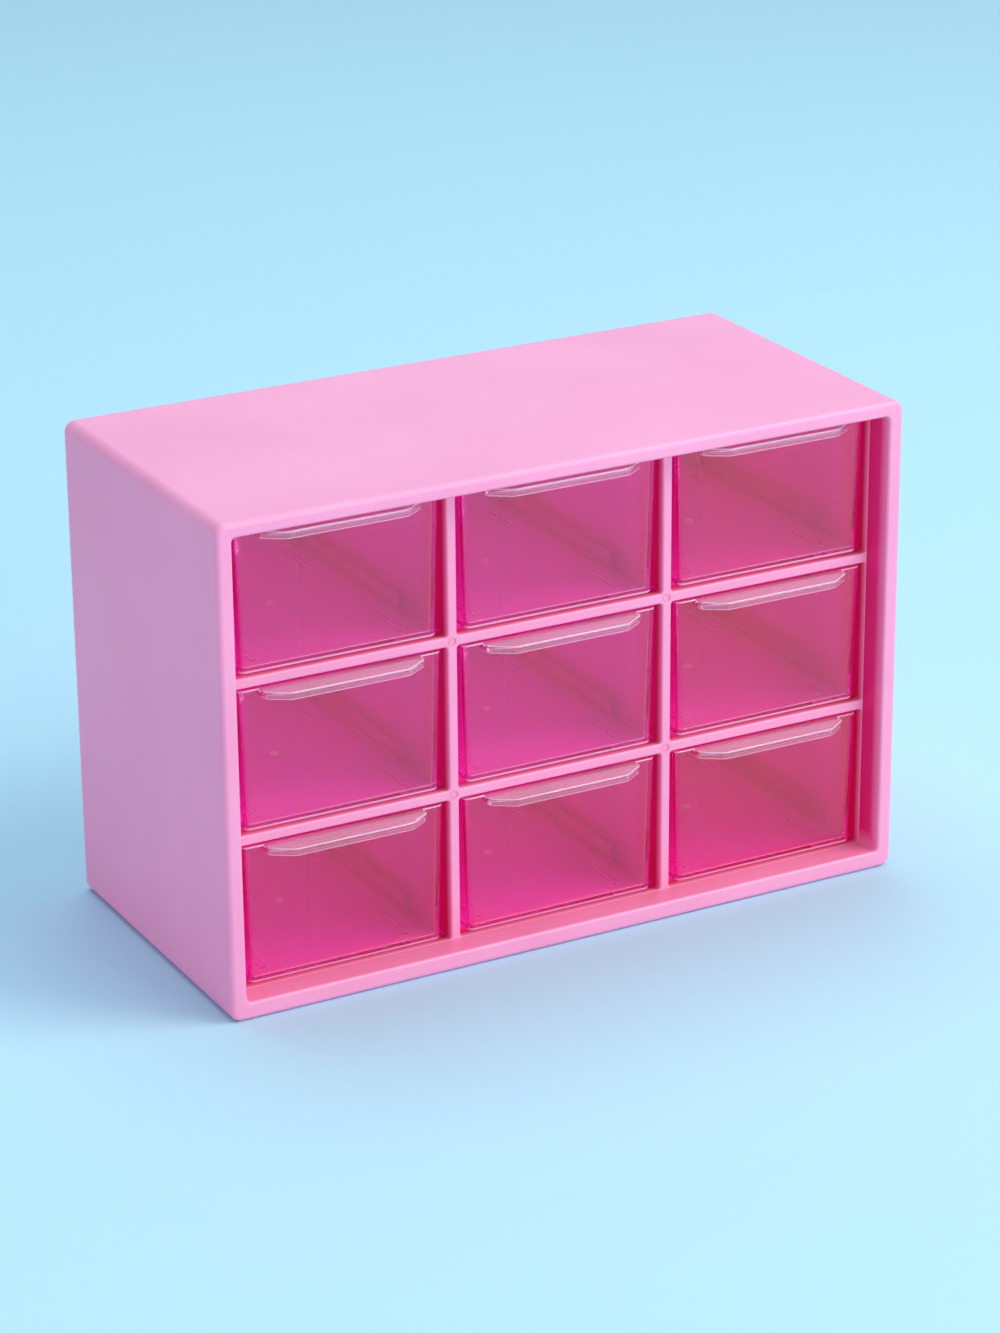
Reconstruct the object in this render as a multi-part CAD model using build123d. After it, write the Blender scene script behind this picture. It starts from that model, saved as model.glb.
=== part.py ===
from build123d import *
import os
from math import radians, tan

# Small desktop cabinet with three rows of three clear drawers. Millimetres.
# X runs across the front, Y from the front to the back, Z up.
# The origin is the middle of the base.

# Case: one moulded sleeve with a raised front rim, open at the back
case_width = 180.0
case_depth = 85.4
case_height = 121.0
case_wall = 2.4
case_side_radius = 2.8
case_front_radius = 1.3
case_back_radius = 1.4

# Rim: it stands in front of the grid and flares open towards the viewer
rim_depth = 6.3
rim_flare_side = 1.6
rim_flare_top = 0.2
rim_flare_bottom = 0.4
rim_corner_radius = 1.0
rim_edge_radius = 0.7

# Grid: one lattice that slides into the case from behind and stops against the rim
grid_clearance = 0.2
grid_side_wall = 2.8
grid_floor = 2.4
grid_roof = 1.2
divider_wall = 2.4
shelf_wall = 2.5
cell_corner_radius = 0.8
cell_edge_radius = 0.5
ejector_mark_radius = 1.0
ejector_mark_depth = 0.15

# Guide ribs: low rails at the foot of each divider that steer the drawers
guide_height = 4.2
guide_setback = 20.9
guide_clearance = 0.9

# Back panel: it snaps into the open rear of the case
panel_wall = 2.0
panel_inset = 1.0
panel_clearance = 0.15
snap_length = 14.0
snap_height = 0.8
snap_wall = 1.2
snap_lead = 0.5
snap_clearance = 0.15

# Drawers: clear trays with drafted walls
drawer_setback = 0.3
drawer_side_gap = 1.55
drawer_top_gap = 0.7
drawer_back_gap = 0.8
drawer_draft = 1.6
drawer_front_draft = 0.3
drawer_wall = 1.2
drawer_floor = 1.2
drawer_corner_radius = 1.5
drawer_foot_radius = 1.0
drawer_inner_corner_radius = 0.7
drawer_inner_foot_radius = 0.5
drawer_lip_radius = 0.3

# Runner pads: short ridges under the floor that the drawer slides on
runner_height = 0.4
runner_width = 1.2
runner_length = 12.5
runner_end_gap = 6.5
runner_side_gap = 6.1
runner_clearance = 0.1

# Gate nub: the round mark left under the floor where the plastic was fed in
gate_radius = 0.9
gate_height = 0.25

# Pull: a plate along the top of the front with its front edge turned down
pull_base_width = 41.0
pull_front_width = 30.0
pull_reach = 5.8
pull_shoulder = 2.2
pull_height = 2.0
pull_plate = 1.1
pull_lip_wall = 1.1
pull_front_radius = 3.0
pull_shoulder_radius = 1.8
pull_edge_radius = 0.35

row_names = ["top", "middle", "bottom"]
column_names = ["left", "centre", "right"]

# Places worked out from the sizes above
row_count = len(row_names)
column_count = len(column_names)
case_front = -case_depth / 2
case_back = case_depth / 2
grid_front = case_front + rim_depth
panel_back = case_back - panel_inset
grid_back = panel_back - panel_wall
bore_half_width = case_width / 2 - case_wall
bore_top = case_height - case_wall
grid_half_width = bore_half_width - grid_clearance
grid_base = case_wall
grid_top = bore_top - grid_clearance
cells_half_width = grid_half_width - grid_side_wall
cells_bottom = grid_base + grid_floor
cells_top = grid_top - grid_roof
cell_width = (2 * cells_half_width - (column_count - 1) * divider_wall) / column_count
cell_height = (cells_top - cells_bottom - (row_count - 1) * shelf_wall) / row_count
drawer_front = grid_front + drawer_setback
drawer_width = cell_width - 2 * drawer_side_gap
drawer_depth = grid_back - drawer_front - drawer_back_gap
tray_bottom = runner_clearance + runner_height
tray_top = cell_height - drawer_top_gap


def block(low, high):
    """Box between two opposite corners."""
    size = [b - a for a, b in zip(low, high)]
    centre = [(a + b) / 2 for a, b in zip(low, high)]
    return Pos(*centre) * Box(*size)


def cell_centre_x(column):
    return (column - (column_count - 1) / 2) * (cell_width + divider_wall)


def cell_floor_z(row):
    """Top of the shelf that carries a row, where row 0 is the highest."""
    return cells_bottom + (row_count - 1 - row) * (cell_height + shelf_wall)


def front_rectangle(half_width, bottom, top, y, radius):
    """Upright rounded rectangle at a given depth, facing the viewer."""
    plane = Plane(origin=(0, y, (bottom + top) / 2), x_dir=(1, 0, 0), z_dir=(0, -1, 0))
    return plane * RectangleRounded(2 * half_width, top - bottom, radius)


def snap_places():
    """Middle of each snap on the panel's edge, with the way that it points."""
    middle_z = (grid_base + bore_top) / 2
    places = []
    for x in (-case_width / 4, case_width / 4):
        places.append((x, bore_top - panel_clearance, 0, 1))
        places.append((x, grid_base + panel_clearance, 0, -1))
    for side in (-1, 1):
        places.append((side * (bore_half_width - panel_clearance), middle_z, side, 0))
    return places


def snap_block(place, grow):
    """A snap that stands out of the panel's edge, or its pocket in the case when grow is more than 0."""
    x, z, out_x, out_z = place
    along = snap_length / 2 + grow
    root = panel_clearance + snap_height
    reach = snap_height + grow
    middle_y = panel_back - panel_wall / 2
    half_y = snap_wall / 2 + grow
    low_x = min(-out_x * root, out_x * reach) - abs(out_z) * along
    high_x = max(-out_x * root, out_x * reach) + abs(out_z) * along
    low_z = min(-out_z * root, out_z * reach) - abs(out_x) * along
    high_z = max(-out_z * root, out_z * reach) + abs(out_x) * along
    return block((x + low_x, middle_y - half_y, z + low_z), (x + high_x, middle_y + half_y, z + high_z))


def make_case():
    case = block((-case_width / 2, case_front, 0), (case_width / 2, case_back, case_height))
    case = fillet(case.edges().filter_by(Axis.Y), case_side_radius)
    case = fillet(case.faces().sort_by(Axis.Y)[0].edges(), case_front_radius)
    case = fillet(case.faces().sort_by(Axis.Y)[-1].edges(), case_back_radius)
    case -= block((-bore_half_width, grid_front, grid_base), (bore_half_width, case_back, bore_top))

    mouth = front_rectangle(
        cells_half_width + rim_flare_side,
        cells_bottom - rim_flare_bottom,
        cells_top + rim_flare_top,
        case_front,
        rim_corner_radius,
    )
    throat = front_rectangle(cells_half_width, cells_bottom, cells_top, grid_front, rim_corner_radius)
    case -= loft([mouth, throat], ruled=True)
    front_face = case.faces().sort_by(Axis.Y)[0]
    case = fillet(front_face.inner_wires()[0].edges(), rim_edge_radius)

    for place in snap_places():
        case -= snap_block(place, snap_clearance)
    return case


def make_grid():
    grid = block((-grid_half_width, grid_front, grid_base), (grid_half_width, grid_back, grid_top))
    for row in range(row_count):
        for column in range(column_count):
            floor_z = cell_floor_z(row)
            opening = front_rectangle(
                cell_width / 2, floor_z, floor_z + cell_height, grid_front, cell_corner_radius
            )
            grid -= extrude(Pos(cell_centre_x(column), 0, 0) * opening, grid_front - grid_back)
    front_face = grid.faces().sort_by(Axis.Y)[0]
    cell_edges = [edge for wire in front_face.inner_wires() for edge in wire.edges()]
    grid = fillet(cell_edges, cell_edge_radius)

    tray_half_width = drawer_width / 2 - wall_inset(guide_height)
    guide_width = cell_width / 2 - tray_half_width - guide_clearance
    guide_root = min(grid_floor, shelf_wall) / 2
    for row in range(row_count):
        floor_z = cell_floor_z(row)
        for column in range(column_count - 1):
            divider_x = (cell_centre_x(column) + cell_centre_x(column + 1)) / 2
            half_width = divider_wall / 2 + guide_width
            grid += block(
                (divider_x - half_width, grid_front + guide_setback, floor_z - guide_root),
                (divider_x + half_width, grid_back, floor_z + guide_height),
            )

    for row in range(row_count - 1):
        for column in range(column_count - 1):
            crossing_x = (cell_centre_x(column) + cell_centre_x(column + 1)) / 2
            crossing_z = cell_floor_z(row) - shelf_wall / 2
            plane = Plane(origin=(crossing_x, grid_front, crossing_z), x_dir=(1, 0, 0), z_dir=(0, 1, 0))
            grid -= extrude(plane * Circle(ejector_mark_radius), ejector_mark_depth)
    return grid


def make_back_panel():
    half_width = bore_half_width - panel_clearance
    panel = block(
        (-half_width, grid_back, grid_base + panel_clearance),
        (half_width, panel_back, bore_top - panel_clearance),
    )
    for place in snap_places():
        snap = snap_block(place, 0)
        out = Axis((0, 0, 0), (place[2], 0, place[3]))
        lead_edges = snap.faces().sort_by(out)[-1].edges().sort_by(Axis.Y)
        panel += chamfer(lead_edges[0], snap_lead)
    return panel


def wall_inset(z):
    """How far the drafted side and back walls have drawn in at a height, against their size at the top."""
    return (tray_top - z) * tan(radians(drawer_draft))


def front_inset(z):
    """How far the drafted front wall has drawn in at a height."""
    return (tray_top - z) * tan(radians(drawer_front_draft))


def tray_block(bottom, top, wall, corner_radius):
    """Solid with the tray's drafted sides, drawn in by a wall thickness."""
    sections = []
    for z in (bottom, top):
        side = wall_inset(z) + wall
        front = front_inset(z) + wall
        width = drawer_width - 2 * side
        depth = drawer_depth - side - front
        sections.append(Pos(0, front + depth / 2, z) * RectangleRounded(width, depth, corner_radius))
    return loft(sections, ruled=True)


def make_pull():
    half_base = pull_base_width / 2
    half_front = pull_front_width / 2
    root = drawer_wall / 2
    outline = make_face(
        Polyline(
            (-half_base, root),
            (-half_base, -pull_shoulder),
            (-half_front, -pull_reach),
            (half_front, -pull_reach),
            (half_base, -pull_shoulder),
            (half_base, root),
            close=True,
        )
    )
    corners = outline.vertices().group_by(Axis.Y)
    outline = fillet(corners[0], pull_front_radius)
    shoulders = outline.vertices().filter_by(lambda v: abs(abs(v.X) - half_base) < 0.01 and v.Y < 0)
    outline = fillet(shoulders, pull_shoulder_radius)
    pull = extrude(Pos(0, 0, tray_top - pull_height) * outline, pull_height)
    free_edges = pull.faces().filter_by(Axis.Z).edges().filter_by(lambda e: e.center().Y < 0)
    pull = fillet(free_edges, pull_edge_radius)
    hollow = offset(outline, -pull_lip_wall)
    pull -= extrude(Pos(0, 0, tray_top - pull_height) * hollow, pull_height - pull_plate)
    return pull


def make_drawer():
    """One drawer with its front face at y = 0 and the shelf's top at z = 0."""
    tray = tray_block(tray_bottom, tray_top, 0, drawer_corner_radius)
    tray = fillet(tray.faces().sort_by(Axis.Z)[0].edges(), drawer_foot_radius)
    hollow = tray_block(tray_bottom + drawer_floor, tray_top, drawer_wall, drawer_inner_corner_radius)
    hollow = fillet(hollow.faces().sort_by(Axis.Z)[0].edges(), drawer_inner_foot_radius)
    tray -= hollow
    drawer = fillet(tray.faces().sort_by(Axis.Z)[-1].edges(), drawer_lip_radius)
    drawer += make_pull()

    runner_x = drawer_width / 2 - wall_inset(tray_bottom) - runner_side_gap
    floor_front = front_inset(tray_bottom) + runner_end_gap
    floor_back = drawer_depth - wall_inset(tray_bottom) - runner_end_gap
    for side in (-1, 1):
        for low_y in (floor_front, floor_back - runner_length):
            middle_x = side * runner_x
            drawer += block(
                (middle_x - runner_width / 2, low_y, runner_clearance),
                (middle_x + runner_width / 2, low_y + runner_length, tray_bottom + drawer_floor / 2),
            )
    gate = Cylinder(gate_radius, gate_height + drawer_floor / 2, align=(Align.CENTER, Align.CENTER, Align.MIN))
    drawer += Pos(0, (floor_front + floor_back) / 2, tray_bottom - gate_height) * gate
    return drawer


os.makedirs("parts", exist_ok=True)
export_step(make_case(), "parts/case_shell.step")
export_step(make_grid(), "parts/divider_grid.step")
export_step(make_back_panel(), "parts/back_panel.step")

drawer = make_drawer()
for row, row_name in enumerate(row_names):
    for column, column_name in enumerate(column_names):
        place = Pos(cell_centre_x(column), drawer_front, cell_floor_z(row))
        export_step(place * drawer, f"parts/drawer_{row_name}_{column_name}.step")

print("cell", round(cell_width, 2), "x", round(cell_height, 2))
print("drawer", round(drawer_width, 2), "x", round(drawer_depth, 2), "x", round(tray_top - runner_clearance, 2))
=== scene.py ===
# %% [markdown]
# # A pink desk cabinet with nine clear drawers
# The cabinet is three pink mouldings: a sleeve with a rim, a lattice behind the rim and a panel at the
# back. Nine clear trays slide in the lattice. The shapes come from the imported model, one object for each
# moulding, and this lesson gives them smooth edges, finishes, light and a camera.

# %% Load the mouldings
import math

import bmesh
import bpy
from mathutils import Matrix, Vector


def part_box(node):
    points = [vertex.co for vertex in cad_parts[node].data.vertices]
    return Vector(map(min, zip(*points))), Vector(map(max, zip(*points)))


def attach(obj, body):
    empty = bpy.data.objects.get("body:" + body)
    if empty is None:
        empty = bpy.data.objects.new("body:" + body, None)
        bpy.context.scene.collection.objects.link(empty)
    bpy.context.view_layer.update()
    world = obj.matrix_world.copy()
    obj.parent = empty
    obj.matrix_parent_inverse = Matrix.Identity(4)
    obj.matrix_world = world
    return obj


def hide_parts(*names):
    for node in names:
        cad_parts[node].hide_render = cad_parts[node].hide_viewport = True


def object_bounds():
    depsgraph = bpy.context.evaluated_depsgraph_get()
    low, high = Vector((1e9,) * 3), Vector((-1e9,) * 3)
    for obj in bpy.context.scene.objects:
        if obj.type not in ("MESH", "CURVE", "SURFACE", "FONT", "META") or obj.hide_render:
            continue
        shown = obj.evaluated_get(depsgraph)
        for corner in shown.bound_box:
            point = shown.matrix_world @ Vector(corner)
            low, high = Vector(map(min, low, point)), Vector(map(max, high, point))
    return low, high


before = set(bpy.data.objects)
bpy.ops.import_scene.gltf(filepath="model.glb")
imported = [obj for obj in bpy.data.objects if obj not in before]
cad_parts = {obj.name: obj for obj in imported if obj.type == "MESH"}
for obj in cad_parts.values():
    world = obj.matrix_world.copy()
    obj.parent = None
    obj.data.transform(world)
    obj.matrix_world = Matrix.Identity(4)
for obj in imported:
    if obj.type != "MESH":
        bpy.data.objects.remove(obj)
cad_low, cad_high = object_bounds()
scene = bpy.context.scene
mm = 0.001

drawer_nodes = sorted(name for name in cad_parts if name.startswith("drawer_"))
size_mm = [round(length / mm, 1) for length in cad_high - cad_low]
print("cabinet of", size_mm, "mm with", len(drawer_nodes), "drawers")

# %% [markdown]
# ## The camera
# Seen from near by, the cabinet's upright edges would lean towards each other. Here they are nearly
# parallel, so the camera stands about a metre away with a long lens. It stands to the left of the cabinet
# and looks down. Turning in the order azimuth, elevation, roll keeps each of the three angles readable by
# itself.

# %% Place the camera
view_azimuth = math.radians(-28.37)
view_elevation = math.radians(21.63)
view_roll = math.radians(-0.46)
view_place = Vector((-433.7, -809.3, 419.9)) * mm
lens_mm = 110.2
sensor_mm = 36.0

camera_data = bpy.data.cameras.new("desk_view")
camera_data.lens = lens_mm
camera_data.sensor_width = sensor_mm
camera = bpy.data.objects.new("desk_view", camera_data)
scene.collection.objects.link(camera)
turn = Matrix.Rotation(view_azimuth, 4, "Z")
tilt = Matrix.Rotation(math.pi / 2 - view_elevation, 4, "X")
roll = Matrix.Rotation(view_roll, 4, "Z")
camera.matrix_world = Matrix.Translation(view_place) @ turn @ tilt @ roll
scene.camera = camera
print("camera", round(view_place.length, 2), "m from the middle of the base, lens", lens_mm, "mm")

# %% [markdown]
# ## Small helpers for finishes
# A hex colour is an sRGB value, and shaders work with linear light, so one function changes a hex value
# to linear. Another starts a material with an empty tree. The third adds one node to a tree with its
# settings and its links, which keeps each finish below readable from top to bottom. A setting is a
# property of the node or the value of one of its inputs.


# %% Colour and node helpers
def linear(hex_colour):
    channels = [int(hex_colour[i:i + 2], 16) / 255 for i in (1, 3, 5)]
    light = [c / 12.92 if c <= 0.04045 else ((c + 0.055) / 1.055) ** 2.4 for c in channels]
    return (*light, 1.0)


def add_node(tree, kind, settings=None, links=None):
    node = tree.nodes.new(kind)
    for name, value in (settings or {}).items():
        if isinstance(name, str) and hasattr(node, name):
            setattr(node, name, value)
        else:
            node.inputs[name].default_value = value
    for name, source in (links or {}).items():
        tree.links.new(source, node.inputs[name])
    return node


def start_material(name):
    material = bpy.data.materials.new(name)
    material.use_nodes = True
    material.node_tree.nodes.clear()
    return material, material.node_tree


print("the pink in linear light:", [round(c, 3) for c in linear("#F8A4D4")])

# %% [markdown]
# ## The cells as a pattern
# The nine cells are alike, so a shade that is drawn in one cell can be drawn in all of them. The Wrap
# operation does that: it makes coordinates that start again in each cell. X then counts from a cell's
# middle, and Z repeats the lowest row. Y, the depth, stays as it is, because its wrap is far wider than
# the cabinet.

# %% Coordinates that start again in each cell
tray_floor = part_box("drawer_bottom_centre")[0].z
cell_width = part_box("drawer_top_right")[0].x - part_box("drawer_top_centre")[0].x
cell_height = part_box("drawer_top_centre")[0].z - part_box("drawer_middle_centre")[0].z
grid_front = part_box("divider_grid")[0].y
wrap_below_mm = 1.0
wide_wrap = 1.0


def place_in_cell(tree, place):
    start = tray_floor - wrap_below_mm * mm
    low = Vector((-cell_width / 2, -wide_wrap, start))
    high = Vector((cell_width / 2, wide_wrap, start + cell_height))
    wrapped = add_node(tree, "ShaderNodeVectorMath", {"operation": "WRAP", 1: high, 2: low}, {0: place})
    return wrapped.outputs["Vector"]


print("cells repeat after", round(cell_width / mm, 1), "mm across and", round(cell_height / mm, 1), "mm up")

# %% [markdown]
# ## Where painted light turns the pink deep
# Inside the cells the real plastic looks far deeper than outside, as if light soaked a little way into
# the pink and came out redder with each wall that it meets. Following that light would cost a lot, so the
# colour does it: the deep pink is painted light. A share tells how far inside a point lies. It is the
# least of several ramps along the axes, and a Map Range node is such a ramp: From Min is the place where
# the share is 0, and From Max is where it is at its most.


# %% The share of painted deep pink
def painted_deep_share(tree, place, ramps):
    axes = add_node(tree, "ShaderNodeSeparateXYZ", links={"Vector": place})
    share = None
    for axis, start, end in ramps:
        limits = {"From Min": start, "From Max": end}
        ramp = add_node(tree, "ShaderNodeMapRange", limits, {"Value": axes.outputs[axis]}).outputs["Result"]
        if share:
            lesser = add_node(tree, "ShaderNodeMath", {"operation": "MINIMUM"}, {0: share, 1: ramp})
            share = lesser.outputs["Value"]
        else:
            share = ramp
    return share


print("deep pink starts behind the lattice's front, at", round(grid_front / mm, 1), "mm")

# %% [markdown]
# ## The painted shade at the foot of the dividers
# The foot of each divider is the darkest place of a cell, and that shade is painted into the colour. Three
# ramps find it: near the divider, low down and behind the front. Their product is the share of painted
# shade.

# %% The share of painted shade
painted_foot_shade = "#F04EC0"
foot_side = {"From Min": 21.0 * mm, "From Max": 25.5 * mm}
foot_rise = {"From Min": tray_floor + 8.0 * mm, "From Max": tray_floor + 4.5 * mm}
foot_depth = {"From Min": grid_front + 6.0 * mm, "From Max": grid_front + 16.0 * mm}


def painted_foot_shade_share(tree, place):
    axes = add_node(tree, "ShaderNodeSeparateXYZ", links={"Vector": place_in_cell(tree, place)})
    aside = add_node(tree, "ShaderNodeMath", {"operation": "ABSOLUTE"}, {0: axes.outputs["X"]})
    near = add_node(tree, "ShaderNodeMapRange", foot_side, {"Value": aside.outputs["Value"]})
    low = add_node(tree, "ShaderNodeMapRange", foot_rise, {"Value": axes.outputs["Z"]})
    behind = add_node(tree, "ShaderNodeMapRange", foot_depth, {"Value": axes.outputs["Y"]})
    foot = add_node(
        tree,
        "ShaderNodeMath",
        {"operation": "MULTIPLY"},
        {0: near.outputs["Result"], 1: low.outputs["Result"]},
    )
    shade = add_node(
        tree,
        "ShaderNodeMath",
        {"operation": "MULTIPLY"},
        {0: foot.outputs["Value"], 1: behind.outputs["Result"]},
    )
    return shade.outputs["Value"]


print("shade from", round(foot_side["From Min"] / mm, 1), "mm beside a cell's middle")

# %% [markdown]
# ## Painted redder light in some cells
# The lattice is one pink, but its cells aren't all lit alike: those of the right column look redder, and
# those of the lowest row a little. That difference is painted light. Two ramps, one across and one up, are
# added to a share that takes green and blue out of the deep pink.

# %% The share of painted red light
painted_red_light_tint = "#FFC8EC"
red_columns = {"From Min": 0.5 * cell_width, "From Max": 0.75 * cell_width, "To Max": 0.7}
second_row = tray_floor + cell_height
row_fade = 0.1 * cell_height
red_rows = {"From Min": second_row + row_fade, "From Max": second_row - row_fade, "To Max": 0.4}


def painted_red_light_share(tree, place):
    axes = add_node(tree, "ShaderNodeSeparateXYZ", links={"Vector": place})
    right = add_node(tree, "ShaderNodeMapRange", red_columns, {"Value": axes.outputs["X"]})
    low = add_node(tree, "ShaderNodeMapRange", red_rows, {"Value": axes.outputs["Z"]})
    both = add_node(
        tree, "ShaderNodeMath", {"operation": "ADD"}, {0: right.outputs["Result"], 1: low.outputs["Result"]}
    )
    return both.outputs["Value"]


print("redder to the right of", round(red_columns["From Min"] / mm, 1), "mm")

# %% [markdown]
# ## The painted deep tones
# The painted deep pink changes with the depth: a painted shade of dark red just behind the front, brighter
# and bluer painted light farther in. A colour ramp holds those tones as stops of a depth in millimetres
# and a colour. A cell's floor catches more light than its sides, so it counts as deeper than it is. The
# painted shade and the painted red light are then laid over the tone.

# %% Painted deep tones by depth
floor_skin = {"From Min": tray_floor + 0.6 * mm, "From Max": tray_floor + 0.1 * mm}
floor_gain = {"From Min": grid_front + 2.0 * mm, "From Max": grid_front + 5.0 * mm, "To Max": 8.0 * mm}


def lit_depth(tree, place):
    axes = add_node(tree, "ShaderNodeSeparateXYZ", links={"Vector": place_in_cell(tree, place)})
    on_floor = add_node(tree, "ShaderNodeMapRange", floor_skin, {"Value": axes.outputs["Z"]})
    gain = add_node(tree, "ShaderNodeMapRange", floor_gain, {"Value": axes.outputs["Y"]})
    depth = add_node(
        tree,
        "ShaderNodeMath",
        {"operation": "MULTIPLY_ADD"},
        {0: on_floor.outputs["Result"], 1: gain.outputs["Result"], 2: axes.outputs["Y"]},
    )
    return depth.outputs["Value"]


def painted_light_tone(tree, place, start, stops):
    reach_mm = stops[-1][0]
    limits = {"From Min": start, "From Max": start + reach_mm * mm}
    depth = add_node(tree, "ShaderNodeMapRange", limits, {"Value": lit_depth(tree, place)})
    tone = add_node(tree, "ShaderNodeValToRGB", links={"Fac": depth.outputs["Result"]})
    tone.color_ramp.elements[0].color = linear(stops[0][1])
    tone.color_ramp.elements[1].color = linear(stops[-1][1])
    for depth_mm, colour in stops[1:-1]:
        tone.color_ramp.elements.new(depth_mm / reach_mm).color = linear(colour)
    shaded = add_node(
        tree,
        "ShaderNodeMix",
        {"data_type": "RGBA", 7: linear(painted_foot_shade)},
        {0: painted_foot_shade_share(tree, place), 6: tone.outputs["Color"]},
    )
    redder = add_node(
        tree,
        "ShaderNodeMix",
        {"data_type": "RGBA", "blend_type": "MULTIPLY", 7: linear(painted_red_light_tint)},
        {0: painted_red_light_share(tree, place), 6: shaded.outputs[2]},
    )
    return redder.outputs[2]


print("a floor counts as", round(floor_gain["To Max"] / mm, 1), "mm deeper than it is")

# %% [markdown]
# ## Pink high impact polystyrene
# The sleeve and the lattice are moulded in opaque pink polystyrene from a polished steel tool. That gives
# the eye an even colour, a soft gloss, a faint orange peel in the reflections and very slight clouds of
# tone where the plastic flowed. The clouds are broad noise between two close pinks, and the peel is a fine
# noise that only bends the light. The back panel is taken to be duller, from a textured tool.

# %% Pink polystyrene
styrene_ior = 1.50
cloud_from = 0.35
cloud_to = 0.65


def pink_styrene(name, pale, deep, cloud_mm, peel_mm, peel_depth_mm, gloss, inside, start, stops):
    material, tree = start_material(name)
    place = add_node(tree, "ShaderNodeTexCoord").outputs["Object"]
    clouds = add_node(
        tree, "ShaderNodeTexNoise", {"Scale": 1 / (cloud_mm * mm), "Detail": 3.0}, {"Vector": place}
    )
    tone = add_node(tree, "ShaderNodeValToRGB", links={"Fac": clouds.outputs["Fac"]})
    for element, position, shade in zip(tone.color_ramp.elements, (cloud_from, cloud_to), (deep, pale)):
        element.position = position
        element.color = linear(shade)
    # The colour lays the painted deep tones of light and shade over the random clouds.
    colour = add_node(
        tree,
        "ShaderNodeMix",
        {"data_type": "RGBA"},
        {
            0: painted_deep_share(tree, place, inside),
            6: tone.outputs["Color"],
            7: painted_light_tone(tree, place, start, stops),
        },
    )
    peel = add_node(
        tree, "ShaderNodeTexNoise", {"Scale": 1 / (peel_mm * mm), "Detail": 2.0}, {"Vector": place}
    )
    roughness = add_node(
        tree,
        "ShaderNodeMapRange",
        {"To Min": gloss[0], "To Max": gloss[1]},
        {"Value": clouds.outputs["Fac"]},
    )
    bump = add_node(
        tree,
        "ShaderNodeBump",
        {"Strength": 1.0, "Distance": peel_depth_mm * mm},
        {"Height": peel.outputs["Fac"]},
    )
    plastic = add_node(
        tree,
        "ShaderNodeBsdfPrincipled",
        {"IOR": styrene_ior},
        {
            "Base Color": colour.outputs[2],
            "Roughness": roughness.outputs["Result"],
            "Normal": bump.outputs["Normal"],
        },
    )
    add_node(tree, "ShaderNodeOutputMaterial", links={"Surface": plastic.outputs["BSDF"]})
    print(name, "clouds of", cloud_mm, "mm, orange peel of", peel_mm, "mm")
    return material


# %% [markdown]
# ## Three pink finishes
# Painted light turns the sleeve deep only inside the mouth of its rim, the lattice just behind its front
# edges, and the panel on the face that closes the cells. Each is a short list of ramps: an axis, the place
# where the painted deep pink starts and the place where it is full.

# %% Make the three pink finishes
rim_wall_mm = 3.8
mouth_fade_mm = 0.6
case_low, case_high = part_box("case_shell")
panel_low, panel_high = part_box("back_panel")
mouth_side = case_high.x - rim_wall_mm * mm
mouth_top = case_high.z - rim_wall_mm * mm
inside_rim = [
    ("Y", case_low.y + 0.4 * mm, case_low.y + 3.0 * mm),
    ("X", -mouth_side - mouth_fade_mm * mm, -mouth_side),
    ("X", mouth_side + mouth_fade_mm * mm, mouth_side),
    ("Z", 3.0 * mm, 9.0 * mm),
    ("Z", mouth_top + mouth_fade_mm * mm, mouth_top),
]
inside_cells = [("Y", grid_front + 0.3 * mm, grid_front + 2.5 * mm)]
inside_back = [("Y", panel_high.y - 0.3 * mm, panel_low.y + 0.3 * mm)]
painted_rim_stops = [(0.0, "#F23E9A"), (6.0, "#E01472")]
painted_cell_stops = [
    (0.0, "#BC0A44"),
    (5.0, "#E41E6E"),
    (14.0, "#F84CD2"),
    (40.0, "#FE5CF2"),
    (75.0, "#FF6AFC"),
]
case_finish = pink_styrene(
    "pink polystyrene, polished mould",
    pale="#FFA4CD",
    deep="#FB9CC7",
    cloud_mm=38.0,
    peel_mm=1.6,
    peel_depth_mm=0.012,
    gloss=(0.30, 0.40),
    inside=inside_rim,
    start=case_low.y,
    stops=painted_rim_stops,
)
grid_finish = pink_styrene(
    "pink polystyrene, lattice",
    pale="#FF9EC8",
    deep="#FD9AC4",
    cloud_mm=26.0,
    peel_mm=1.2,
    peel_depth_mm=0.010,
    gloss=(0.26, 0.36),
    inside=inside_cells,
    start=grid_front,
    stops=painted_cell_stops,
)
panel_finish = pink_styrene(
    "pink polystyrene, textured mould",
    pale="#FFA2CC",
    deep="#FD9EC8",
    cloud_mm=30.0,
    peel_mm=0.7,
    peel_depth_mm=0.05,
    gloss=(0.50, 0.62),
    inside=inside_back,
    start=grid_front,
    stops=painted_cell_stops,
)

# %% [markdown]
# ## The painted glow on the edges of clear plastic
# A real clear sheet pipes the light that it catches out of its edges, and a thick pull glows a little.
# Here a small share of pale plastic is painted light for that glow. It lies where the surface of a tray's
# front turns from a lying face to a standing one, along the top of the front and in the upright corners at
# the back. The product of two parts of the normal shows such a turn: it is near zero on a flat face and
# larger on a rounded edge.

# %% The share of painted glow along the edges
pull_reach_mm = 5.8
panel_wall = 1.2 * mm
edge_glow = 0.7
corner_glow = 0.3
top_glow = 0.2
drawer_low, drawer_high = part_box("drawer_bottom_centre")
drawer_front = drawer_low.y + pull_reach_mm * mm
behind_front = drawer_front + 1.5 * panel_wall
edge_turn = {"From Min": 0.06, "From Max": 0.2}
edge_zone = {"From Min": behind_front, "From Max": drawer_front + panel_wall, "To Max": edge_glow}
corner_turn = {"From Min": 0.15, "From Max": 0.45}
drawer_back = drawer_high.y
corner_zone = {"From Min": drawer_back - 3.0 * mm, "From Max": drawer_back - 2.0 * mm, "To Max": corner_glow}
top_band = {"From Min": drawer_high.z - 0.5 * mm, "From Max": drawer_high.z - 0.2 * mm}
top_zone = {"From Min": behind_front, "From Max": drawer_front, "To Max": top_glow}


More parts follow.
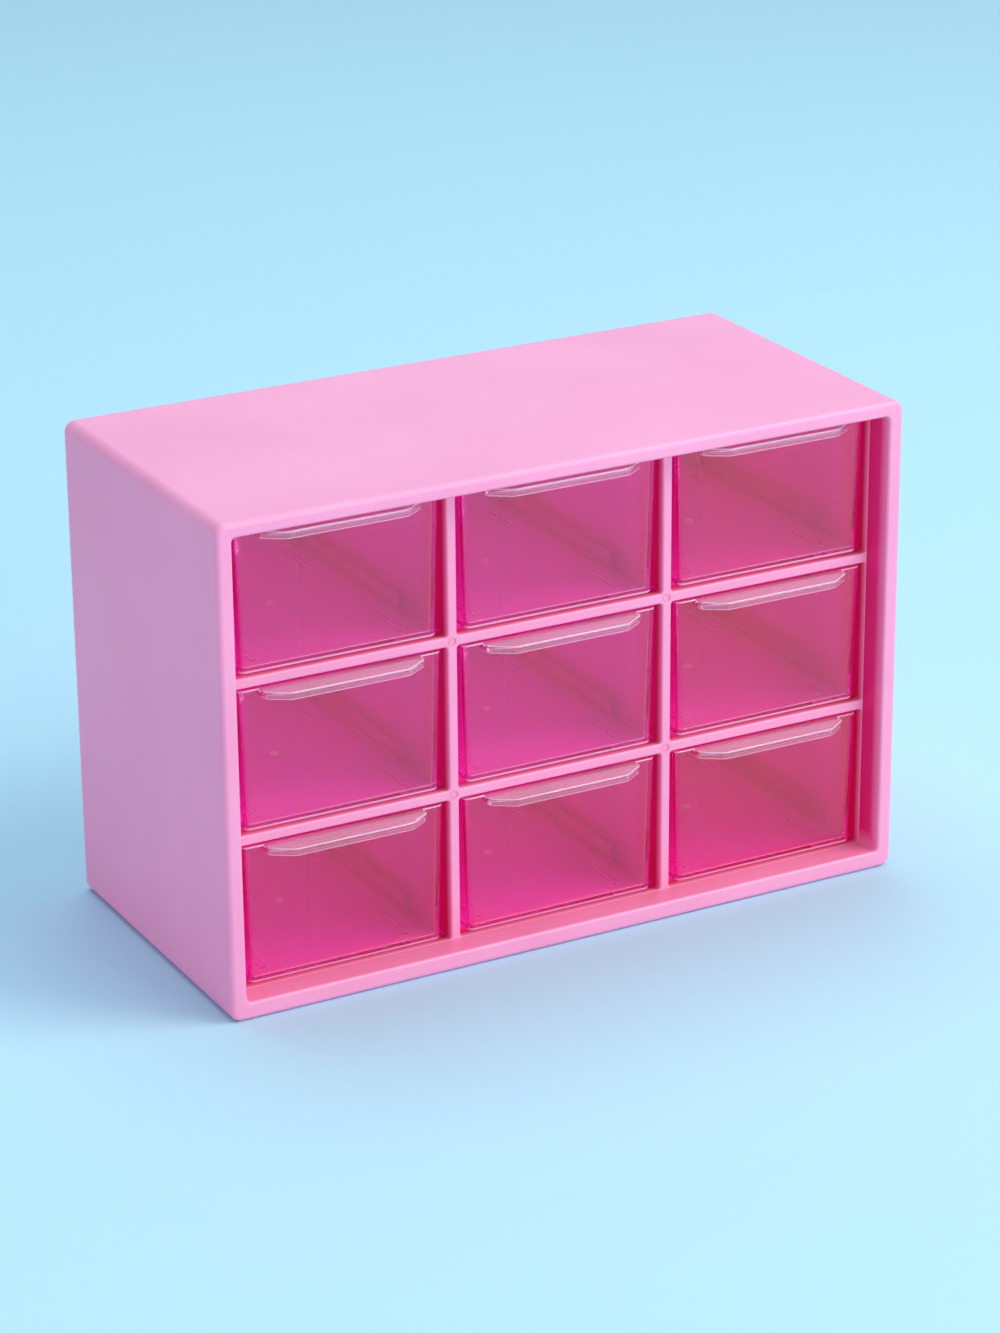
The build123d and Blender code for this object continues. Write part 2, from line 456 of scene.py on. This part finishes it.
def painted_edge_glow_share(tree, along, up):
    facing = add_node(tree, "ShaderNodeNewGeometry").outputs["Normal"]
    unsigned = add_node(tree, "ShaderNodeVectorMath", {"operation": "ABSOLUTE"}, {0: facing})
    parts = add_node(tree, "ShaderNodeSeparateXYZ", links={"Vector": unsigned.outputs["Vector"]}).outputs
    standing = add_node(tree, "ShaderNodeMath", {"operation": "SUBTRACT", 0: 1.0}, {1: parts["Z"]})
    edge = add_node(
        tree, "ShaderNodeMath", {"operation": "MULTIPLY"}, {0: parts["Z"], 1: standing.outputs["Value"]}
    )
    corner = add_node(tree, "ShaderNodeMath", {"operation": "MULTIPLY"}, {0: parts["X"], 1: parts["Y"]})
    places = [
        (edge.outputs["Value"], edge_turn, edge_zone),
        (corner.outputs["Value"], corner_turn, corner_zone),
        (up, top_band, top_zone),
    ]
    total = None
    for value, limits, zone in places:
        share = add_node(tree, "ShaderNodeMapRange", limits, {"Value": value}).outputs["Result"]
        most = add_node(tree, "ShaderNodeMapRange", zone, {"Value": along}).outputs["Result"]
        glow = add_node(tree, "ShaderNodeMath", {"operation": "MULTIPLY"}, {0: share, 1: most})
        if total:
            glow = add_node(
                tree, "ShaderNodeMath", {"operation": "MAXIMUM"}, {0: total, 1: glow.outputs["Value"]}
            )
        total = glow.outputs["Value"]
    return total


print("front of a tray at", round(drawer_front / mm, 1), "mm, back at", round(drawer_back / mm, 1), "mm")

# %% [markdown]
# ## How clear a tray is
# The pull is a little pale all over, as painted light for the pale light that it reflects and refracts.
# The small stub under the floor, where the plastic entered the mould, is pale too: it lies in the middle of
# the floor, so the distance from there, measured level, finds it. What is left after the pull, the stub
# and the edges is the clear share.

# %% The clear share
painted_pull_glow = 0.06
gate_glow = 0.6
gate_radius = 0.9 * mm
gate_place = Vector((0.0, (drawer_front + drawer_back) / 2, 0.0))
pull_zone = {"From Min": drawer_front - 0.1 * mm, "From Max": drawer_front - 0.5 * mm, "To Max": painted_pull_glow}
gate_spot = {"From Min": 1.5 * gate_radius, "From Max": gate_radius, "To Max": gate_glow}


def clear_share(tree, place):
    in_cell = place_in_cell(tree, place)
    axes = add_node(tree, "ShaderNodeSeparateXYZ", links={"Vector": in_cell})
    pull = add_node(tree, "ShaderNodeMapRange", pull_zone, {"Value": axes.outputs["Y"]})
    level = add_node(
        tree, "ShaderNodeVectorMath", {"operation": "MULTIPLY", 1: (1.0, 1.0, 0.0)}, {0: in_cell}
    )
    from_gate = add_node(
        tree, "ShaderNodeVectorMath", {"operation": "DISTANCE", 1: gate_place}, {0: level.outputs["Vector"]}
    )
    gate = add_node(tree, "ShaderNodeMapRange", gate_spot, {"Value": from_gate.outputs["Value"]})
    spots = add_node(
        tree, "ShaderNodeMath", {"operation": "ADD"}, {0: pull.outputs["Result"], 1: gate.outputs["Result"]}
    )
    edges = painted_edge_glow_share(tree, axes.outputs["Y"], axes.outputs["Z"])
    glow = add_node(tree, "ShaderNodeMath", {"operation": "ADD"}, {0: spots.outputs["Value"], 1: edges})
    clear = add_node(tree, "ShaderNodeMath", {"operation": "SUBTRACT", 0: 1.0}, {1: glow.outputs["Value"]})
    return clear.outputs["Value"]


print("gate stub at", round(gate_place.y / mm, 1), "mm, radius", round(gate_radius / mm, 1), "mm")

# %% [markdown]
# ## Crystal polystyrene
# The trays are clear polystyrene from a polished tool, with very slight ripples in their walls. Its index
# of refraction is about 1.59, which is high for a clear plastic. The value here is lower, because it
# mirrors less of the blue sheet and so matches the real fronts better. A refracting shader on a wall of
# real thickness gives the lines along the edges. The refraction would also shut the lamps out of the
# trays, so rays from lamps and soft light pass straight through, with the same faint tint. A ray that has
# bent many times is trapped in a wall and would come out black, so it goes straight on as well.

# %% Make the clear finish
crystal_ior = 1.46
most_bends = 6
painted_glow_pink = "#FFBCE2"


def crystal_styrene(name, tint, ripple_mm, ripple_depth_mm, gloss):
    material, tree = start_material(name)
    place = add_node(tree, "ShaderNodeTexCoord").outputs["Object"]
    ripple = add_node(
        tree, "ShaderNodeTexNoise", {"Scale": 1 / (ripple_mm * mm), "Detail": 1.0}, {"Vector": place}
    )
    roughness = add_node(
        tree,
        "ShaderNodeMapRange",
        {"To Min": gloss[0], "To Max": gloss[1]},
        {"Value": ripple.outputs["Fac"]},
    )
    bump = add_node(
        tree,
        "ShaderNodeBump",
        {"Strength": 1.0, "Distance": ripple_depth_mm * mm},
        {"Height": ripple.outputs["Fac"]},
    )
    clear = clear_share(tree, place)
    # Where a tray isn't clear, its colour turns to the painted glow pink.
    colour = add_node(
        tree, "ShaderNodeMix", {"data_type": "RGBA", 6: linear(painted_glow_pink), 7: linear(tint)}, {0: clear}
    )
    plastic = add_node(
        tree,
        "ShaderNodeBsdfPrincipled",
        {"IOR": crystal_ior},
        {
            "Base Color": colour.outputs[2],
            "Transmission Weight": clear,
            "Roughness": roughness.outputs["Result"],
            "Normal": bump.outputs["Normal"],
        },
    )
    straight = add_node(tree, "ShaderNodeBsdfTransparent", {"Color": linear(tint)})
    ray = add_node(tree, "ShaderNodeLightPath")
    unbent = add_node(
        tree,
        "ShaderNodeMath",
        {"operation": "MAXIMUM"},
        {0: ray.outputs["Is Shadow Ray"], 1: ray.outputs["Is Diffuse Ray"]},
    )
    trapped = add_node(
        tree, "ShaderNodeMath", {"operation": "GREATER_THAN", 1: most_bends}, {0: ray.outputs["Ray Depth"]}
    )
    straight_on = add_node(
        tree,
        "ShaderNodeMath",
        {"operation": "MAXIMUM"},
        {0: unbent.outputs["Value"], 1: trapped.outputs["Value"]},
    )
    either = add_node(
        tree,
        "ShaderNodeMixShader",
        links={0: straight_on.outputs["Value"], 1: plastic.outputs["BSDF"], 2: straight.outputs["BSDF"]},
    )
    add_node(tree, "ShaderNodeOutputMaterial", links={"Surface": either.outputs["Shader"]})
    print(name, "ripples of", ripple_mm, "mm")
    return material


drawer_finish = crystal_styrene(
    "crystal polystyrene, polished mould",
    tint="#FFF3FA",
    ripple_mm=14.0,
    ripple_depth_mm=0.004,
    gloss=(0.01, 0.03),
)

# %% [markdown]
# ## The mouldings
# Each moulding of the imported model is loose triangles, which would show as facets on the rounded edges. A
# copy is welded, shaded smooth across small angles only, and its normals are weighted by face size, so
# that the large faces stay flat and all the turning happens in the narrow rounded strips. The copy then
# stands for the original.

# %% A smooth copy of a moulding
weld_mm = 0.002
smooth_angle = math.radians(30)


def bake_mesh(piece):
    """Swaps a piece's mesh for the one that its modifiers make, and removes them."""
    evaluated = piece.evaluated_get(bpy.context.evaluated_depsgraph_get())
    made = bpy.data.meshes.new_from_object(evaluated)
    piece.modifiers.clear()
    piece.data = made
    made.name = piece.name


def smooth_moulding(node_name, piece_name, body, material):
    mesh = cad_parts[node_name].data.copy()
    shape = bmesh.new()
    shape.from_mesh(mesh)
    bmesh.ops.remove_doubles(shape, verts=shape.verts, dist=weld_mm * mm)
    shape.to_mesh(mesh)
    shape.free()
    if "custom_normal" in mesh.attributes:
        mesh.attributes.remove(mesh.attributes["custom_normal"])
    mesh.materials.clear()
    mesh.materials.append(material)
    mesh.shade_smooth()
    mesh.set_sharp_from_angle(angle=smooth_angle)
    piece = bpy.data.objects.new(piece_name, mesh)
    scene.collection.objects.link(piece)
    weighting = piece.modifiers.new("flat faces stay flat", "WEIGHTED_NORMAL")
    weighting.keep_sharp = True
    bake_mesh(piece)
    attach(piece, body)
    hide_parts(node_name)
    print(piece_name, "has", len(piece.data.polygons), "faces")


# %% [markdown]
# ## Twelve mouldings
# The three pink mouldings belong to the cabinet, which stays put. Each tray belongs to a body of its own,
# which slides, and all nine share one finish.

# %% Smooth the twelve mouldings
cabinet_finishes = {
    "case_shell": (case_finish, "case_pink"),
    "divider_grid": (grid_finish, "grid_pink"),
    "back_panel": (panel_finish, "panel_pink"),
}
for node_name, (finish, slot) in cabinet_finishes.items():
    smooth_moulding(node_name, node_name + "_moulding", "cabinet", finish)

for node_name in drawer_nodes:
    smooth_moulding(node_name, node_name + "_tray", node_name, drawer_finish)

# %% [markdown]
# ## The rings at the crossings
# The pins that push the lattice out of its mould leave a fine raised ring at each of the four crossings.
# A node tree makes them: a grid of two by two points, one small ring on each point, turned to stand on
# the lattice's front. The grid is as wide and as high as one cell, so its corners fall on the crossings.

# %% A tree for the rings
shelf_mm = 2.5
path_points = 40
bead_points = 10
crossing_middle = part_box("drawer_middle_centre")[0].z + (cell_height - shelf_mm * mm) / 2
ring_sizes = {"Across": cell_width, "Up": cell_height, "Ring Radius": 0.95 * mm, "Bead Radius": 0.13 * mm}


def ring_tree():
    tree = bpy.data.node_groups.new("rings at the crossings", "GeometryNodeTree")
    tree.interface.new_socket("Geometry", in_out="OUTPUT", socket_type="NodeSocketGeometry")
    for name in ring_sizes:
        tree.interface.new_socket(name, in_out="INPUT", socket_type="NodeSocketFloat")
    sizes = add_node(tree, "NodeGroupInput").outputs
    points = add_node(
        tree,
        "GeometryNodeMeshGrid",
        {"Vertices X": 2, "Vertices Y": 2},
        {"Size X": sizes["Across"], "Size Y": sizes["Up"]},
    )
    path = add_node(
        tree,
        "GeometryNodeCurvePrimitiveCircle",
        {"Resolution": path_points},
        {"Radius": sizes["Ring Radius"]},
    )
    bead = add_node(
        tree,
        "GeometryNodeCurvePrimitiveCircle",
        {"Resolution": bead_points},
        {"Radius": sizes["Bead Radius"]},
    )
    ring = add_node(
        tree,
        "GeometryNodeCurveToMesh",
        links={"Curve": path.outputs["Curve"], "Profile Curve": bead.outputs["Curve"]},
    )
    rings = add_node(
        tree,
        "GeometryNodeInstanceOnPoints",
        links={"Points": points.outputs["Mesh"], "Instance": ring.outputs["Mesh"]},
    )
    middle = Vector((0.0, grid_front, crossing_middle))
    standing = add_node(
        tree,
        "GeometryNodeTransform",
        {"Translation": middle, "Rotation": (math.pi / 2, 0.0, 0.0)},
        {"Geometry": rings.outputs["Instances"]},
    )
    real = add_node(tree, "GeometryNodeRealizeInstances", links={"Geometry": standing.outputs["Geometry"]})
    smooth = add_node(tree, "GeometryNodeSetShadeSmooth", links={"Geometry": real.outputs["Geometry"]})
    pink = add_node(
        tree, "GeometryNodeSetMaterial", {"Material": grid_finish}, {"Geometry": smooth.outputs["Geometry"]}
    )
    add_node(tree, "NodeGroupOutput", links={"Geometry": pink.outputs["Geometry"]})
    return tree


print("crossings lie around a point", round(crossing_middle / mm, 2), "mm up")

# %% [markdown]
# ## Rings as a plain mesh
# The tree's inputs are set by the identifiers of their sockets, before the piece is first worked out. The
# result is then turned into a plain mesh and the modifier is removed, so that the piece is a mesh like the
# others.

# %% Make the ejector rings
rings_piece = bpy.data.objects.new("ejector_rings", bpy.data.meshes.new("ejector_rings"))
scene.collection.objects.link(rings_piece)
making = rings_piece.modifiers.new("rings", "NODES")
making.node_group = ring_tree()
for socket in making.node_group.interface.items_tree:
    if socket.in_out == "INPUT":
        making[socket.identifier] = ring_sizes[socket.name]
bake_mesh(rings_piece)
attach(rings_piece, "cabinet")
print("rings have", len(rings_piece.data.polygons), "faces")

# %% [markdown]
# ## The sheet on the table
# The cabinet stands on a seamless sheet of pale blue paper. It is a plain matte floor that keeps the
# shadow, with a fine grain, and it lies a hair below the cabinet, so that the two faces don't fight for
# the same place.

# %% Make the floor
floor_reach = 4.0
floor_drop_mm = 0.05
floor_blue = "#BCE8FA"
grain_mm = 1.5
grain_depth_mm = 0.02

floor_material, floor_tree = start_material("pale blue paper sheet")
floor_place = add_node(floor_tree, "ShaderNodeTexCoord").outputs["Object"]
floor_grain = add_node(
    floor_tree, "ShaderNodeTexNoise", {"Scale": 1 / (grain_mm * mm), "Detail": 2.0}, {"Vector": floor_place}
)
floor_bump = add_node(
    floor_tree,
    "ShaderNodeBump",
    {"Strength": 0.2, "Distance": grain_depth_mm * mm},
    {"Height": floor_grain.outputs["Fac"]},
)
floor_shader = add_node(
    floor_tree,
    "ShaderNodeBsdfPrincipled",
    {"Base Color": linear(floor_blue), "Roughness": 0.7, "Specular IOR Level": 0.25},
    {"Normal": floor_bump.outputs["Normal"]},
)
add_node(floor_tree, "ShaderNodeOutputMaterial", links={"Surface": floor_shader.outputs["BSDF"]})

floor_mesh = bpy.data.meshes.new("floor")
corners = [(-1, -1), (1, -1), (1, 1), (-1, 1)]
floor_points = [(x * floor_reach, y * floor_reach, -floor_drop_mm * mm) for x, y in corners]
floor_mesh.from_pydata(floor_points, [], [(0, 1, 2, 3)])
floor_mesh.materials.append(floor_material)
floor = bpy.data.objects.new("floor", floor_mesh)
scene.collection.objects.link(floor)
print("floor", 2 * floor_reach, "m wide")

# %% [markdown]
# ## The air around the cabinet
# The air gives soft light from all sides. Where the camera, a gloss or clear plastic looks at it, it
# shows the sheet's blue instead, and the Light Path node tells the two kinds of rays apart.

# %% Make the air
air_blue = "#BBEAFD"
soft_light = "#DAEEFD"
soft_strength = 0.46

world = bpy.data.worlds.new("pale blue room")
scene.world = world
world.use_nodes = True
air = world.node_tree
air.nodes.clear()
ray = add_node(air, "ShaderNodeLightPath")
seen_or_mirrored = add_node(
    air,
    "ShaderNodeMath",
    {"operation": "MAXIMUM"},
    {0: ray.outputs["Is Camera Ray"], 1: ray.outputs["Is Glossy Ray"]},
)
shown = add_node(
    air,
    "ShaderNodeMath",
    {"operation": "MAXIMUM"},
    {0: seen_or_mirrored.outputs["Value"], 1: ray.outputs["Is Transmission Ray"]},
)
light = add_node(air, "ShaderNodeBackground", {"Color": linear(soft_light), "Strength": soft_strength})
sight = add_node(air, "ShaderNodeBackground", {"Color": linear(air_blue), "Strength": 1.0})
both = add_node(
    air,
    "ShaderNodeMixShader",
    links={0: shown.outputs["Value"], 1: light.outputs["Background"], 2: sight.outputs["Background"]},
)
add_node(air, "ShaderNodeOutputWorld", links={"Surface": both.outputs["Shader"]})
print("soft light", soft_strength, "from all sides")

# %% [markdown]
# ## The lamps
# One large soft lamp stands in front, to the right and high, so the front and the top are bright and the
# left side falls into shade. A second one stands low in front and shines into the cells, as a wide window
# would. A third hangs overhead and draws the light line along the upper edges. A weak, warm one at the
# left is the light that comes back from the room on that side.

# %% Make the lamps
cabinet_middle = (cad_low + cad_high) / 2


def soft_lamp(name, place, width, watts, tint):
    data = bpy.data.lights.new(name, "AREA")
    data.shape = "SQUARE"
    data.size = width
    data.energy = watts
    data.color = linear(tint)[:3]
    lamp = bpy.data.objects.new(name, data)
    scene.collection.objects.link(lamp)
    lamp.location = place
    lamp.rotation_euler = (cabinet_middle - Vector(place)).to_track_quat("-Z", "Y").to_euler()
    print(name, "of", watts, "W, soft over", width, "m")


soft_lamp("key_lamp", place=(1.0, -0.75, 1.25), width=0.9, watts=17.0, tint="#FFF7F0")
soft_lamp("low_lamp", place=(0.55, -1.5, 0.36), width=0.6, watts=7.9, tint="#FFF9F4")
soft_lamp("overhead_lamp", place=(0.0, 0.4, 1.6), width=1.1, watts=9.6, tint="#EEFCFF")
soft_lamp("side_lamp", place=(-1.3, -0.35, 0.16), width=0.3, watts=2.9, tint="#FFB8C8")

# %% [markdown]
# ## How far light is followed
# A path into a cell and out again crosses several clear walls and meets the pink many times. Cut short,
# the cells would turn black, so the limits are high. Walls that are passed straight through have a limit
# of their own.

# %% Set the number of bounces
scene.view_settings.view_transform = "Standard"
scene.cycles.max_bounces = 64
scene.cycles.diffuse_bounces = 24
scene.cycles.glossy_bounces = 48
scene.cycles.transmission_bounces = 48
scene.cycles.transparent_max_bounces = 256
print("light is followed over", scene.cycles.max_bounces, "bounces")
